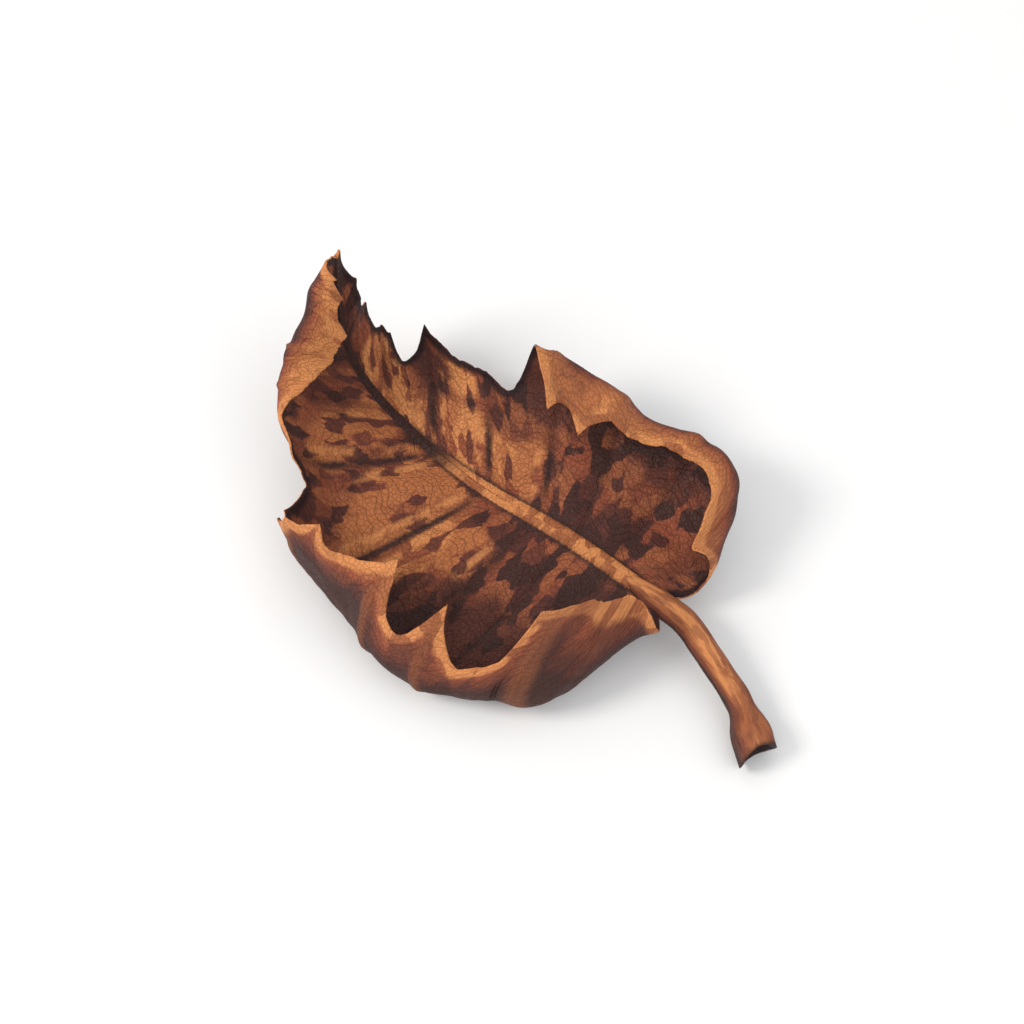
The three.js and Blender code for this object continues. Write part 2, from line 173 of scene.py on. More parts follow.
def lattice_noise(x, y, size, seed):
    """Gradient noise, about -1 to 1: on a square net with cells of the given size, each corner
    has a seeded slope, and the value eases from corner to corner by 6t^5 - 15t^4 + 10t^3."""
    cells = 64
    angle = np.random.default_rng(seed).uniform(0, 2 * np.pi, (cells, cells))
    x, y = x / size, y / size
    i, j = np.floor(x).astype(int), np.floor(y).astype(int)
    u, v = x - i, y - j

    def corner(a, b):
        turn = angle[(i + a) % cells, (j + b) % cells]
        return np.cos(turn) * (u - a) + np.sin(turn) * (v - b)

    ease_u = u**3 * (u * (6 * u - 15) + 10)
    ease_v = v**3 * (v * (6 * v - 15) + 10)
    low = mix(corner(0, 0), corner(1, 0), ease_u)
    high = mix(corner(0, 1), corner(1, 1), ease_u)
    return 1.5 * mix(low, high, ease_v)


def crumple(x, y):
    """How a dried blade buckles, about -1 to 1: wide and narrow swells, and sharp folds where a
    third noise passes through zero."""
    wide = lattice_noise(x, y, 19.0, 11)
    narrow = lattice_noise(x + 0.4 * y, y, 8.5, 12)
    folds = np.abs(lattice_noise(x, y - 0.5 * x, 13.0, 13))
    return 0.55 * wide + 0.25 * narrow + 0.6 * (0.28 - folds)


def settled(points):
    """Points of the unsettled leaf, in millimetres, tipped over as the leaf lies: rolled about Y,
    then pitched about X."""
    pitch = Matrix.Rotation(np.radians(SETTLE_PITCH), 3, "X")
    roll = Matrix.Rotation(np.radians(SETTLE_ROLL), 3, "Y")
    return points @ np.array(pitch @ roll).T


def to_frame(points):
    """Settled points in millimetres, moved to the part's origin and turned to metres."""
    return (points + np.array(MOVE)) * MM


def midrib_at(s):
    """Way along the ground and height of the midrib at each share s of its length: the sums of
    the cosine and the sine of its pitch, times the step."""
    steps = 400
    pitch = np.radians(curve(MIDRIB_PITCH, (np.arange(steps) + 0.5) / steps))
    step = MIDRIB_LENGTH / steps
    along = np.concatenate([[0.0], np.cumsum(np.cos(pitch)) * step])
    height = np.concatenate([[0.0], np.cumsum(np.sin(pitch)) * step])
    share = np.linspace(0.0, 1.0, steps + 1)
    return np.interp(s, share, along), np.interp(s, share, height)


def reach_at(half, s):
    """How far the blade reaches from the midrib at each share s of its length: between two
    stations it is the shorter reach plus the difference times q to a power, with q going from 0
    at the shorter to 1 at the longer. That makes pointed teeth and rounded gaps. The base of the
    blade has no teeth, so the power is 1 up to a share of PLAIN_BASE."""
    stations, reaches = np.array(half["reach"], float).T
    k = np.clip(np.searchsorted(stations, s) - 1, 0, len(stations) - 2)
    q = (s - stations[k]) / (stations[k + 1] - stations[k])
    near = np.where(reaches[k + 1] > reaches[k], q, 1.0 - q)
    shorter = np.minimum(reaches[k], reaches[k + 1])
    power = np.where(s < PLAIN_BASE, 1.0, TOOTH_POWER)
    return shorter + np.abs(reaches[k + 1] - reaches[k]) * np.clip(near, 0, 1) ** power


def blade_lines(half, s):
    """The lines of one half, one for each share s, as points LINE_STEP apart, with the slope in
    degrees at each. A line's slope at distance r is rise + cup * smooth((r - wall) / soft) +
    lip * smooth((r - lip_at) / LIP_TURN), its direction is lean - arch * r / ARCH_LENGTH, and
    each point is the sum of the steps before it, tilted by the midrib's pitch."""
    s = np.clip(s, 0.0, 1.0)
    along0, height0 = midrib_at(s)
    pitch = np.radians(curve(MIDRIB_PITCH, s))[:, None]
    keys = ("lean", "rise", "cup", "wall", "soft", "lip", "lip_at")
    at = {key: curve(half[key], s)[:, None] for key in keys}
    r = (np.arange(LINE_STEPS) + 0.5)[None, :] * LINE_STEP
    degrees = (
        at["rise"]
        + at["cup"] * smooth((r - at["wall"]) / at["soft"])
        + at["lip"] * smooth((r - at["lip_at"]) / LIP_TURN)
    )
    slope = np.radians(degrees)
    turn = np.radians(at["lean"] - half["arch"] * r / ARCH_LENGTH)
    start = np.zeros((len(s), 1))

    def total(step):
        return np.concatenate([start, np.cumsum(step, axis=1) * LINE_STEP], axis=1)

    out = total(np.cos(slope) * np.sin(turn))
    along = total(np.cos(slope) * np.cos(turn))
    up = total(np.sin(slope))
    points = np.stack(
        [
            half["side"] * out,
            along0[:, None] + along * np.cos(pitch) - up * np.sin(pitch),
            height0[:, None] + along * np.sin(pitch) + up * np.cos(pitch),
        ],
        axis=-1,
    )
    return points, np.concatenate([degrees[:, :1], degrees], axis=1)


def on_lines(lines, r):
    """The points of the lines at distances r, one row of r for each line, by straight steps."""
    f = np.clip(r / LINE_STEP, 0.0, LINE_STEPS - 1e-6)
    i = f.astype(int)
    row = np.arange(len(lines))[:, None]
    return mix(lines[row, i], lines[row, i + 1], (f - i)[..., None])


def between_veins(half, s):
    """Share of the way from the side vein before s to the one after it."""
    marks = np.array([0.0, *half["veins"], 1.0])
    k = np.clip(np.searchsorted(marks, s) - 1, 0, len(marks) - 2)
    return np.clip((s - marks[k]) / (marks[k + 1] - marks[k]), 0, 1)


def blade_rows(count):
    """Shares of the midrib at which the blade has a row: closer together near the base, where
    the lines fan out, and a little closer in the middle, with every station of the outline and
    every vein among them."""
    shortest_step = 0.0008
    even = np.linspace(0, 1, 2001)
    at_base, in_middle = 1 - smooth(even / 0.22), 1 - smooth(np.abs(even - 0.3) / 0.2)
    density = 1 + 2.2 * at_base + 0.6 * in_middle
    total = np.concatenate([[0], np.cumsum((density[1:] + density[:-1]) / 2)])
    spread = np.interp(np.linspace(0, total[-1], count), total, even)
    stations = {row[0] for half in (BACK_HALF, FRONT_HALF) for row in half["reach"]}
    marks = np.array(sorted(stations | {*BACK_HALF["veins"], *FRONT_HALF["veins"]}))
    apart = np.abs(spread[:, None] - marks[None, :]).min(axis=1)
    return np.sort(np.concatenate([spread[apart > shortest_step], marks]))


def blade_half(half, s, shape):
    """One half of the blade at rows s, with columns from the midrib to the edge: points of the
    middle surface, its normals, and how far the two faces stand off along them, in millimetres,
    with the flat place, the distances and the slope that the materials read.
    The normal is the cross product of the steps along r and s. The reach is shortened by nicks,
    a noise along the edge on the flat leaf, less where the edge runs along the lines. The faces
    stand off by half the thickness and the rib, a half ellipse. The lift adds a swell between
    veins, a wave along the edge and the crumple. The edge thins out as a quarter circle."""
    step_s, step_r = 0.002, 0.4
    nick_depth, full_nicks = shape.edge_ragged / MM, 25
    rib_columns, edge_columns = 6, np.array([0.0, 0.4, 0.7, 0.9, 1.0])
    column_crowding, least_reach, widest_rib, widest_band = 1.15, 0.85, 0.6, 0.15
    lift_from_rib, full_lift_reach, waves = 12, 60, 9
    lines, slopes = blade_lines(half, s)
    before, after = blade_lines(half, s - step_s)[0], blade_lines(half, s + step_s)[0]
    full_reach = reach_at(half, s)
    lean = np.radians(curve(half["lean"], s))
    edge_x, edge_y = full_reach * np.sin(lean), s * MIDRIB_LENGTH + full_reach * np.cos(lean)
    edge_steps = np.hypot(np.diff(edge_x), np.diff(edge_y))
    round_edge = np.concatenate([[0], np.cumsum(edge_steps)])
    nick = lattice_noise(round_edge, 0 * s + 40 * half["side"], NICK_SIZES[0], 5)
    nick = nick + 0.6 * lattice_noise(round_edge, 0 * s + 7 * half["side"], NICK_SIZES[1], 6)
    nick = nick_depth * np.clip(0.2 + nick, 0, 1) * smooth(full_reach / full_nicks)
    crossing = np.gradient(s) * MIDRIB_LENGTH * np.sin(lean) / np.gradient(round_edge)
    nick = nick * np.clip(1.5 * crossing - 0.2, 0, 1)
    reach = np.maximum(full_reach - nick, least_reach * full_reach)

    rib_wide = mix(shape.rib_width_base, shape.rib_width_tip, s) / MM
    rib_wide = np.minimum(rib_wide, widest_rib * reach)
    rib_high = mix(shape.rib_rise_base, shape.rib_rise_tip, s**0.7) / MM
    band = np.minimum(THIN_BAND, widest_band * (reach - rib_wide))
    inner, outer = rib_wide[:, None], (reach - band)[:, None]
    rib_part = np.linspace(0, 1, rib_columns)[None, :] * inner
    q = np.linspace(0, 1, shape.columns)[None, 1:-1]
    main_part = inner + (outer - inner) * (1 - (1 - q) ** column_crowding)
    edge_part = outer + band[:, None] * edge_columns[None, :]
    r = np.concatenate([rib_part, main_part, edge_part], axis=1)

    middle = on_lines(lines, r)
    across = on_lines(lines, r + step_r) - on_lines(lines, np.maximum(r - step_r, 0))
    lengthwise = on_lines(after, r) - on_lines(before, r)
    normal = half["side"] * np.cross(across, lengthwise)
    normal /= np.linalg.norm(normal, axis=-1, keepdims=True)

    lean = lean[:, None]
    flat_x = half["side"] * r * np.sin(lean)
    flat_y = s[:, None] * MIDRIB_LENGTH + r * np.cos(lean)
    u = r / reach[:, None]
    inside = smooth((r - inner) / lift_from_rib)
    share = between_veins(half, s)[:, None]
    full = np.minimum(1.0, full_reach / full_lift_reach)[:, None]
    wave = np.sin(2 * np.pi * (waves * s[:, None] + 0.2 * half["side"]))
    lift = shape.pucker / MM * np.sin(np.pi * share) ** 2 * inside * full * (1 - 0.6 * u)
    lift = lift + shape.edge_wave / MM * inside * full**2 * u**3 * wave
    lift = lift + shape.crumple / MM * inside * crumple(flat_x, flat_y)

    rib = rib_high[:, None] * np.sqrt(np.clip(1 - (r / inner) ** 2, 0, 1))
    gap = np.abs(s[:, None] - np.array(half["veins"])[None, :]).min(axis=1) * MIDRIB_LENGTH
    vein = smooth(1 - gap / (shape.vein_width / MM))[:, None]
    vein = vein * inside**0.3 * (1 - 0.5 * u) * smooth((1 - u) * 8)
    thin = np.sqrt(1 - np.clip((r - outer) / band[:, None], 0, 0.985) ** 2)
    half_thick = shape.thickness / MM / 2
    return {
        "middle": middle,
        "normal": normal,
        "over": lift + (half_thick + rib - shape.vein_groove / MM * vein) * thin,
        "under": lift - (half_thick + rib + shape.vein_rise / MM * vein) * thin,
        "flat": np.stack([flat_x, flat_y], axis=-1),
        "line": np.stack([r, share + 0 * r, s[:, None] + 0 * r], axis=-1),
        "vein": gap[:, None] * np.sin(lean) + 0 * r,
        "slope": on_lines(slopes[..., None], r)[..., 0],
    }


def gap_to_edge(flat, edge):
    """Distance on the flat leaf from each point to the nearest point of the edge."""
    found = np.empty(len(flat))
    block = 4000
    for low in range(0, len(flat), block):
        gap = flat[low:low + block, None, :] - edge[None, :, :]
        found[low:low + block] = np.sqrt((gap**2).sum(-1).min(axis=1))
    return found


def grid_faces(n, m):
    """Corners of the quads of an n by m grid of points, one row of four for each quad."""
    i, j = np.meshgrid(np.arange(n - 1), np.arange(m - 1), indexing="ij")
    a = (i * m + j).ravel()
    return np.stack([a, a + 1, a + m + 1, a + m], axis=-1)


def border(n, m):
    """Places of the border points of an n by m grid, once round."""
    return np.concatenate([
        np.arange(m - 1),
        np.arange(n - 1) * m + m - 1,
        (n - 1) * m + np.arange(m - 1, 0, -1),
        np.arange(n - 1, 0, -1) * m,
    ])


def new_piece(name, points, faces, materials, face_material):
    """A smooth-shaded mesh object at the origin, with its place in its mesh."""
    mesh = bpy.data.meshes.new(name)
    mesh.from_pydata(points.tolist(), [], [tuple(face) for face in faces])
    for material in materials:
        mesh.materials.append(material)
    mesh.polygons.foreach_set("material_index", face_material.astype(np.int32))
    mesh.polygons.foreach_set("use_smooth", np.ones(len(mesh.polygons), bool))
    mesh.update()
    piece = bpy.data.objects.new(name, mesh)
    bpy.context.scene.collection.objects.link(piece)
    return piece


def store(piece, name, values):
    """Puts a number or a vector for each point on the mesh, for its materials to read."""
    values = np.asarray(values, np.float32)
    kind, key = ("FLOAT", "value") if values.ndim == 1 else ("FLOAT_VECTOR", "vector")
    attribute = piece.data.attributes.new(name, kind, "POINT")
    attribute.data.foreach_set(key, values.ravel())


def build_blade(shape, materials):
    """Both halves joined at the midrib, as one skin: the upper face, the lower face turned
    round, and a strip along the edge. Where the lower face would go into the ground, both faces
    are pressed up together."""
    s = blade_rows(shape.rows)
    front, back = blade_half(FRONT_HALF, s, shape), blade_half(BACK_HALF, s, shape)
    joined = front["normal"][:, 0] + back["normal"][:, 0]
    back["normal"][:, 0] = joined / np.linalg.norm(joined, axis=-1, keepdims=True)
    both = {key: np.concatenate([front[key][:, :0:-1], back[key]], axis=1) for key in back}
    n, m = both["over"].shape

    upper = settled((both["middle"] + both["normal"] * both["over"][..., None]).reshape(-1, 3))
    lower = settled((both["middle"] + both["normal"] * both["under"][..., None]).reshape(-1, 3))
    into = np.clip(GROUND_LEVEL - lower[:, 2], 0, None)
    upper[:, 2] += into
    lower[:, 2] += into

    top = grid_faces(n, m)
    under = top[:, ::-1] + n * m
    ring = border(n, m)
    after = np.roll(ring, -1)
    rim = np.stack([ring, ring + n * m, after + n * m, after], axis=-1)
    faces = np.concatenate([top, under, rim])
    slots = np.repeat([0, 1, 1], [len(top), len(under), len(rim)])
    points = to_frame(np.concatenate([upper, lower]))
    piece = new_piece("leaf_blade", points, faces, materials, slots)

    flat = both["flat"].reshape(-1, 2)
    edge = gap_to_edge(flat, flat[ring])
    place = np.concatenate([flat, np.zeros((len(flat), 1))], axis=1)
    store(piece, "edge_gap", np.tile(edge, 2))
    store(piece, "vein_gap", np.tile(both["vein"].ravel(), 2))
    store(piece, "line_slope", np.tile(both["slope"].ravel(), 2))
    store(piece, "flat_place", np.tile(place, (2, 1)))
    store(piece, "line_place", np.tile(both["line"].reshape(-1, 3), (2, 1)))
    return piece


def smooth_path(knots, count):
    """Points the same distance apart along a smooth line through the knots, with the tangent at
    each and the distance from the start. Between two knots it is the cubic whose end slopes come
    from the neighbours, each weighted by the square root of its distance."""
    knots = np.array(knots, float)
    knots = np.concatenate([[2 * knots[0] - knots[1]], knots, [2 * knots[-1] - knots[-2]]])
    t = np.linspace(0, 1, 60, endpoint=False)[:, None]
    pieces = []
    for a, b, c, d in zip(knots, knots[1:], knots[2:], knots[3:]):
        ab, bc, cd = (np.sqrt(np.linalg.norm(q - p)) for p, q in ((a, b), (b, c), (c, d)))
        leave = ((b - a) / ab - (c - a) / (ab + bc) + (c - b) / bc) * bc
        arrive = ((c - b) / bc - (d - b) / (bc + cd) + (d - c) / cd) * bc
        pieces.append(cubic(t, b, c, leave, arrive))
    dense = np.concatenate([*pieces, knots[-2:-1]])
    gone = np.concatenate([[0], np.cumsum(np.linalg.norm(np.diff(dense, axis=0), axis=1))])
    at = np.linspace(0, gone[-1], count)
    points = np.stack([np.interp(at, gone, dense[:, k]) for k in range(3)], axis=-1)
    tangents = np.gradient(points, axis=0)
    tangents /= np.linalg.norm(tangents, axis=1, keepdims=True)
    return points, tangents, at


def build_stalk(shape, material):
    """A tapering tube from inside the midrib to a swollen foot. The radius goes from rib size to
    the stalk's and swells towards the end; shallow ridges run along it as the sine of the angle
    round, and a noise makes it knotty. The foot's rim runs out into two prongs by the square of
    the cosine and the cosine of that angle, and a hollow closes it."""
    rings, sides = 170, 48
    start_radius, taper_length = 1.3, 20
    swell_from, swell_length, prong_length = 13, 9, 8
    ridges, ridge_height, knot_height, flatness = 7, 0.035, 0.06, 0.9
    rough_from, rough_over, knot_size, knot_turns = 14, 10, 6.0, 9
    hollow_depth, colour_depth, closing_rings, prong_share = shape.stalk_cup / MM, 3, 7, 0.8
    along, height = midrib_at(np.array(STALK_INSIDE))
    knots = [(0, y, z) for y, z in zip(along, height)] + STALK_LINE
    points, tangents, d = smooth_path(knots, rings)
    side = np.cross(tangents, (0, 0, 1))
    side /= np.linalg.norm(side, axis=1, keepdims=True)
    up = np.cross(side, tangents)
    total = d[-1]
    t = 2 * np.pi * np.arange(sides) / sides

    free = smooth((d[:, None] - rough_from) / rough_over)
    radius = mix(start_radius, shape.stalk_radius / MM, smooth(d / taper_length))
    swell = smooth((d - total + swell_from) / swell_length)
    radius = radius * (1 + (shape.stalk_flare - 1) * swell)
    ridge = ridge_height * np.sin(ridges * t[None, :] + 0.05 * d[:, None])
    across = knot_turns * np.cos(t)[None, :]
    knot = knot_height * lattice_noise(d[:, None] + 0 * t, across, knot_size, 31)
    radius = radius[:, None] * (1 + (ridge + knot) * free)
    ahead = shape.prong_both / MM * np.cos(t) ** 2 + shape.prong_uneven / MM * np.cos(t)
    ahead = ahead[None, :] * smooth((d - total + prong_length) / prong_length)[:, None]

    def ring_points(centre, side_way, up_way, tangent, r, push):
        return (
            centre
            + side_way * (r * np.cos(t))[..., None]
            + up_way * (flatness * r * np.sin(t))[..., None]
            + tangent * push[..., None]
        )

    ways = (side[:, None], up[:, None], tangents[:, None])
    skin = ring_points(points[:, None], *ways, radius, ahead)
    closing = []
    closing_shares = np.linspace(0, 1, closing_rings + 2)[1:-1]
    for share in closing_shares:
        r = radius[-1] * mix(0.9, 0.12, share)
        push = mix(ahead[-1] * prong_share, 0 * t - hollow_depth, smooth(share))
        closing.append(ring_points(points[-1], side[-1], up[-1], tangents[-1], r, push))
    skin = np.concatenate([skin, np.array(closing)])
    n = len(skin)
    hollow = points[-1] - tangents[-1] * hollow_depth
    cells = settled(np.concatenate([skin.reshape(-1, 3), [hollow, points[0]]]))
    cells[:, 2] = np.maximum(cells[:, 2], GROUND_LEVEL)

    k, a = np.meshgrid(np.arange(n - 1), np.arange(sides), indexing="ij")
    b = (a + 1) % sides
    quads = np.stack([k * sides + a, (k + 1) * sides + a, (k + 1) * sides + b, k * sides + b], -1)
    first, last = np.arange(sides), (n - 1) * sides + np.arange(sides)
    cap = np.stack([np.roll(last, -1), last, np.full(sides, n * sides)], axis=-1)
    start = np.stack([first, np.roll(first, -1), np.full(sides, n * sides + 1)], axis=-1)
    faces = [*quads.reshape(-1, 4).tolist(), *cap.tolist(), *start.tolist()]
    piece = new_piece("leaf_stalk", to_frame(cells), faces, [material], np.zeros(len(faces)))

    way = np.concatenate([d - total, colour_depth * closing_shares])[:, None]
    around = np.stack([np.cos(t) + 0 * way, np.sin(t) + 0 * way, way + 0 * t], axis=-1)
    around = np.concatenate([around.reshape(-1, 3), [(0, 0, colour_depth), (0, 0, -total)]])
    store(piece, "stalk_place", around)
    return piece


def fill_inputs(tree, made, inputs):
    """Joins a node's inputs to sockets, or sets them to values. Inputs is a list of pairs: the
    input's name or number, and the socket or value."""
    for key, value in inputs:
        if isinstance(value, bpy.types.NodeSocket):
            tree.links.new(value, made.inputs[key])
        else:
            made.inputs[key].default_value = value
    return made


def node(tree, kind, inputs=(), **settings):
    """A shader node with its settings and inputs."""
    made = tree.nodes.new(kind)
    for key, value in settings.items():
        setattr(made, key, value)
    return fill_inputs(tree, made, inputs)


def maths(tree, operation, *values):
    """The result of one Math node on one to three values."""
    return node(tree, "ShaderNodeMath", enumerate(values), operation=operation).outputs[0]


def vector_maths(tree, operation, *values):
    """The result of one Vector Math node."""
    return node(tree, "ShaderNodeVectorMath", enumerate(values), operation=operation).outputs[0]


def eased(tree, value, low, high, to_low=0.0, to_high=1.0):
    """The value, eased from its range low to high into to_low to to_high."""
    inputs = [(0, value), (1, low), (2, high), (3, to_low), (4, to_high)]
    made = node(tree, "ShaderNodeMapRange", inputs, interpolation_type="SMOOTHSTEP")
    return made.outputs[0]


def blend(tree, part, first, second):
    """Two colours mixed by a part from 0 to 1."""
    inputs = [(0, part), (6, first), (7, second)]
    return node(tree, "ShaderNodeMix", inputs, data_type="RGBA").outputs[2]


def split(tree, vector):
    """The three parts of a vector."""
    return node(tree, "ShaderNodeSeparateXYZ", [(0, vector)]).outputs


def product(tree, value, *others):
    """A value multiplied by each of the others in turn."""
    for other in others:
        value = maths(tree, "MULTIPLY", value, other)
    return value


def layered(tree, tone, *layers):
    """A colour with others laid over it in turn. Each layer is a value, the two ends of its
    easing, how much of the new colour there is at the second end, and that colour."""
    for value, low, high, full, colour in layers:
        tone = blend(tree, eased(tree, value, low, high, 0.0, full), tone, colour)
    return tone


def uneven(tree, value, marks, amount):
    """A value made uneven: the amount times the marks is added to it."""
    return maths(tree, "MULTIPLY_ADD", marks, amount, value)


def noise(tree, place, scale, detail=2.0, roughness=0.5, distortion=0.0, output="Fac"):
    """A cloudy noise over a place."""
    inputs = [("Vector", place), ("Scale", scale), ("Detail", detail)]
    inputs += [("Roughness", roughness), ("Distortion", distortion)]
    return node(tree, "ShaderNodeTexNoise", inputs).outputs[output]


def read(tree, name, output="Fac"):
    """A number or a vector stored on the mesh."""
    return node(tree, "ShaderNodeAttribute", attribute_name=name).outputs[output]


def new_group(name, inputs, *outputs):
    """An empty shader node group with named inputs, each with its default, which is a number or
    three of them, and named outputs. Gives the group and its two end nodes."""
    group = bpy.data.node_groups.new(name, "ShaderNodeTree")
    for label, default in inputs.items():
        kind = "NodeSocketVector" if isinstance(default, tuple) else "NodeSocketFloat"
        socket = group.interface.new_socket(label, in_out="INPUT", socket_type=kind)
        socket.default_value = default
    for label in outputs:
        group.interface.new_socket(label, in_out="OUTPUT", socket_type="NodeSocketFloat")
    return group, group.nodes.new("NodeGroupInput").outputs, group.nodes.new("NodeGroupOutput")


def mottle_group():
    """Blotches as on dry leaf tissue. Blotch is a wide distorted noise, Spots are the cells of a
    net, each with its own shade, and Grain is a fine noise."""
    inputs = {"Place": (0, 0, 0), "Size": 10.0}
    group, start, end = new_group("leaf_mottle", inputs, "Blotch", "Spots", "Grain")
    size = node(group, "ShaderNodeCombineXYZ", [(k, start["Size"]) for k in range(3)]).outputs[0]
    place = vector_maths(group, "DIVIDE", start["Place"], size)
    shift = noise(group, place, 2.5, 3.0, output="Color")
    bent = vector_maths(group, "MULTIPLY_ADD", shift, (0.35, 0.35, 0.35), place)
    inputs = [("Vector", bent), ("Scale", 2.6), ("Smoothness", 0.25)]
    spots = node(group, "ShaderNodeTexVoronoi", inputs, feature="SMOOTH_F1").outputs["Color"]
    shade = node(group, "ShaderNodeSeparateColor", [(0, spots)]).outputs[0]
    fill_inputs(group, end, [
        ("Blotch", noise(group, place, 0.8, 5.0, 0.6, 0.6)),
        ("Spots", shade),
        ("Grain", noise(group, place, 9.0, 4.0, 0.65)),
    ])
    return group


def net_group():
    """The fine net of veins, 1 on a vein and 0 off it. Ladder holds thin lines that cross from
    one side vein to the next, a little bent; Net holds the edges of small cells."""
    inputs = {"Flat": (0, 0, 0), "Line": (0, 0, 0), "Spacing": 3.4}
    group, start, end = new_group("leaf_net", inputs, "Ladder", "Net")
    line = split(group, start["Line"])
    wander = noise(group, start["Flat"], 0.11)
    bow = product(group, maths(group, "PINGPONG", line[1], 0.5), 3.0)
    way = maths(group, "DIVIDE", line[0], start["Spacing"])
    way = maths(group, "ADD", uneven(group, way, wander, 5.0), bow)
    ladder = eased(group, maths(group, "PINGPONG", way, 0.5), 0.0, 0.13, 1.0, 0.0)
    bend = noise(group, start["Flat"], 0.5, output="Color")
    place = vector_maths(group, "MULTIPLY_ADD", bend, (0.9, 0.9, 0.0), start["Flat"])
    cells = node(
        group, "ShaderNodeTexVoronoi", [("Vector", place), ("Scale", 0.72)],
        feature="DISTANCE_TO_EDGE", voronoi_dimensions="2D",
    ).outputs["Distance"]
    fill_inputs(group, end, [("Ladder", ladder), ("Net", eased(group, cells, 0.0, 0.12, 1.0, 0.0))])
    return group


def patch_group():
    """A soft-edged oval patch on the flat leaf: 1 inside and 0 outside, with an edge frayed by a
    noise. The distance is that from the centre, divided by the two half-widths."""
    inputs = {"Flat": (0, 0, 0), "Centre": (0, 0, 0), "Half-widths": (10, 10, 1), "Fray": 0.5}
    group, start, end = new_group("leaf_patch", inputs, "Mask")
    away = vector_maths(group, "SUBTRACT", start["Flat"], start["Centre"])
    away = vector_maths(group, "DIVIDE", away, start["Half-widths"])
    far = node(group, "ShaderNodeVectorMath", [(0, away)], operation="LENGTH").outputs["Value"]
    fray = maths(group, "SUBTRACT", noise(group, start["Flat"], 0.13, 5.0, 0.62), 0.5)
    far = uneven(group, far, product(group, fray, 2.0), start["Fray"])
    fill_inputs(group, end, [("Mask", eased(group, far, 0.75, 1.15, 1.0, 0.0))])
    return group


GROUP_MAKERS = {"leaf_mottle": mottle_group, "leaf_net": net_group, "leaf_patch": patch_group}


def shared(tree, name, inputs):
    """A shared group, made when first asked for, placed in a material with its own values."""
    group = bpy.data.node_groups.get(name) or GROUP_MAKERS[name]()
    made = node(tree, "ShaderNodeGroup", node_tree=group)
    return fill_inputs(tree, made, inputs).outputs


def new_material(name):
    """An empty node material with its shader joined to the output."""
    material = bpy.data.materials.new(name)
    material.use_nodes = True
    tree = material.node_tree
    tree.nodes.clear()
    shader = tree.nodes.new("ShaderNodeBsdfPrincipled")
    output = tree.nodes.new("ShaderNodeOutputMaterial")
    tree.links.new(shader.outputs[0], output.inputs["Surface"])
    return material, tree, shader


def finish_surface(tree, shader, tone, relief, depth, grain, roughness):
    """Joins a colour, a relief with its depth in millimetres, and a roughness that follows the
    grain between two values to the shader, which is dull."""
    inputs = [("Strength", 0.7), ("Distance", depth * MM), ("Height", relief)]
    bump = node(tree, "ShaderNodeBump", inputs).outputs[0]
    tree.links.new(tone, shader.inputs["Base Color"])
    tree.links.new(bump, shader.inputs["Normal"])
    tree.links.new(eased(tree, grain, 0.3, 0.8, *roughness), shader.inputs["Roughness"])
    shader.inputs["Specular IOR Level"].default_value = 0.2


# Patches of the upper face, in millimetres on the flat leaf: the centre, across from the midrib
# (the back half is positive) and along from its base, and the two half-widths. The pale and
# orange patches are partly the tissue's own colour and partly painted light on the lit side of the
# bowl; the dark ones are partly dark tissue and partly painted shade under the curled flap, inside
# the front wall and beside the rolled tip.
PALE_PATCHES = [
    ((7, 73), (9, 19)), ((3, 97), (5, 11)), ((20, 84), (4, 8)), ((-26, 60), (13, 6)),
    ((7, 106), (7, 9)),
]
ORANGE_PATCHES = [
    ((-17, 72), (19, 15)), ((-32, 67), (13, 14)), ((-20, 51), (9, 9)),
    ((10, 50), (9, 9)), ((-8, 96), (9, 8)), ((-23, 98), (10, 9)),
]
DARK_AND_SHADE_PATCHES = [
    ((45, 20), (19, 28)), ((17, 94), (5, 9)), ((31, 55), (8, 14)),
    ((-48, 28), (22, 34)), ((-14, 13), (14, 8)), ((-30, 118), (5, 8)), ((-3, 126), (9, 13)),
]


def patches_mask(tree, flat, patches):
    """The mask of several oval patches: the highest of their masks."""
    whole = 0.0
    for centre, half_widths in patches:
        inputs = [("Flat", flat), ("Centre", (*centre, 0)), ("Half-widths", (*half_widths, 1))]
        mask = shared(tree, "leaf_patch", inputs)["Mask"]
        whole = maths(tree, "MAXIMUM", whole, mask)
    return whole


def blade_reading(tree, mottle_size):
    """What both faces' materials read from the mesh and from the shared groups. The mottling is
    drawn out into strokes along the lines, and is another one on each half."""
    flat, line = read(tree, "flat_place", "Vector"), read(tree, "line_place", "Vector")
    parts = split(tree, line)
    strokes = node(tree, "ShaderNodeCombineXYZ", [
        (0, product(tree, parts[0], 0.5)),
        (1, product(tree, parts[2], 1.15 * MIDRIB_LENGTH)),
        (2, product(tree, maths(tree, "SIGN", split(tree, flat)[0]), 50.0)),
    ]).outputs[0]
    mottle = shared(tree, "leaf_mottle", [("Place", strokes), ("Size", mottle_size)])
    net = shared(tree, "leaf_net", [("Flat", flat), ("Line", line), ("Spacing", 3.4)])
    return {
        "flat": flat, "r": parts[0], "s": parts[2],
        "edge": read(tree, "edge_gap"), "vein": read(tree, "vein_gap"),
        "slope": read(tree, "line_slope"),
        "blotch": mottle["Blotch"], "spots": mottle["Spots"], "grain": mottle["Grain"],
        "ladder": net["Ladder"], "net": net["Net"],
    }


def veined(tree, at, tone, ladder, net, colour):
    """A colour with the net of small veins drawn over it."""
    ladder, net = product(tree, at["ladder"], ladder), product(tree, at["net"], net)
    return blend(tree, maths(tree, "MAXIMUM", ladder, net), tone, colour)


def vein_relief(tree, at, ladder, net, grain):
    """The height of the small veins and the grain together."""
    relief = uneven(tree, product(tree, at["ladder"], ladder), at["net"], net)
    return uneven(tree, relief, at["grain"], grain)


